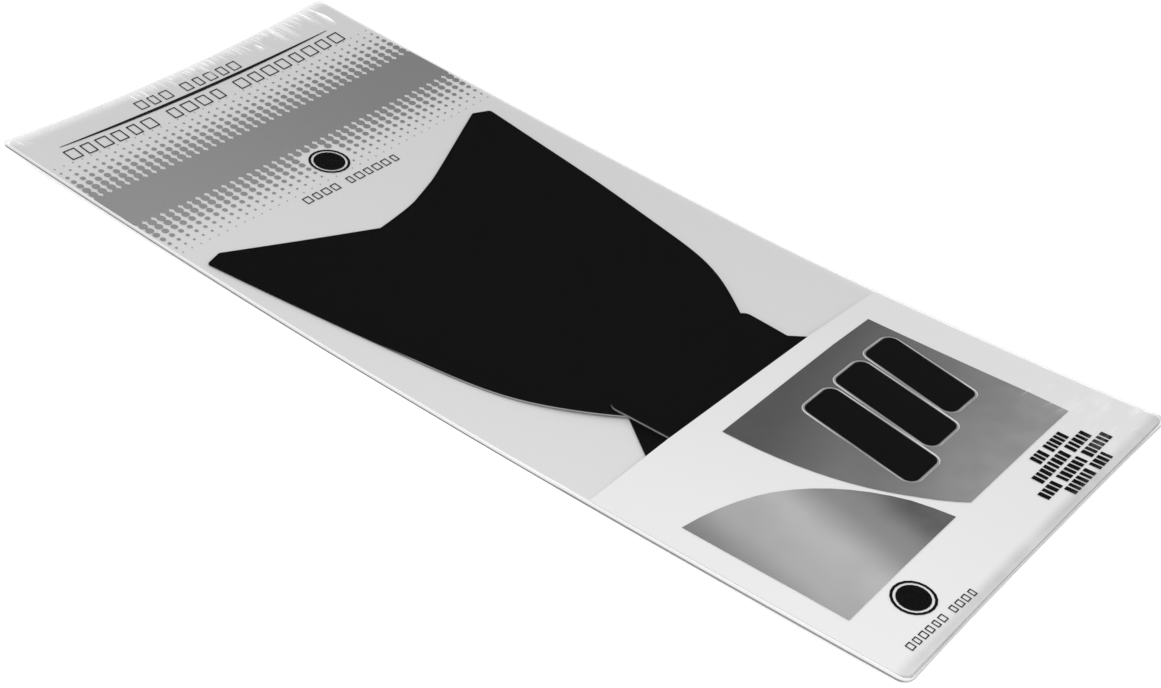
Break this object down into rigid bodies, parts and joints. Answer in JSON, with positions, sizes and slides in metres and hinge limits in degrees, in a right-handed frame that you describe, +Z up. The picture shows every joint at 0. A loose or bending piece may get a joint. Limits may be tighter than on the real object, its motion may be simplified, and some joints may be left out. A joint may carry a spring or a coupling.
{
  "type": "protective film sticker set",
  "caption": "Self-adhesive protective film pieces in black, laid on a bowed printed card under a leaflet and wrapped in clear film.",
  "frame": {"origin": "centre of the flat strip under the pack that it rests on", "axes": "+Y along the card towards its printed end, +X to the right of the printed face, +Z up, out of the printed face"},
  "size_m": [0.213, 0.4838, 0.0154],
  "materials": {
    "backing_card": "smooth coated white board",
    "card_halftone_band": "mid grey ink",
    "card_tapered_rule": "black ink",
    "card_sign_ring": "black ink",
    "card_sign_disc": "black ink",
    "rear_release_liner": "waxed paper",
    "rear_film_sticker": "black satin film",
    "main_release_liner": "waxed paper",
    "main_film_sticker": "black satin film",
    "upper_release_liner": "waxed paper",
    "upper_film_sticker": "black satin film",
    "leaflet_sheet": "smooth white paper",
    "leaflet_grey_field": "dark grey ink",
    "leaflet_pale_field": "pale grey ink",
    "leaflet_dark_tile_1": "black ink",
    "leaflet_dark_tile_2": "black ink",
    "leaflet_dark_tile_3": "black ink",
    "leaflet_sign_ring": "black ink",
    "leaflet_sign_disc": "black ink",
    "shrink_film": "clear glossy film"
  },
  "bodies": {
    "root": {"backing_card": "backing_card", "card_halftone_band": "card_halftone_band", "card_tapered_rule": "card_tapered_rule", "card_sign_ring": "card_sign_ring", "card_sign_disc": "card_sign_disc", "rear_release_liner": "rear_release_liner", "rear_film_sticker": "rear_film_sticker", "main_release_liner": "main_release_liner", "main_film_sticker": "main_film_sticker", "upper_release_liner": "upper_release_liner", "upper_film_sticker": "upper_film_sticker", "leaflet_sheet": "leaflet_sheet", "leaflet_grey_field": "leaflet_grey_field", "leaflet_pale_field": "leaflet_pale_field", "leaflet_dark_tile_1": "leaflet_dark_tile_1", "leaflet_dark_tile_2": "leaflet_dark_tile_2", "leaflet_dark_tile_3": "leaflet_dark_tile_3", "leaflet_sign_ring": "leaflet_sign_ring", "leaflet_sign_disc": "leaflet_sign_disc", "shrink_film": "shrink_film"}
  },
  "joints": []
}
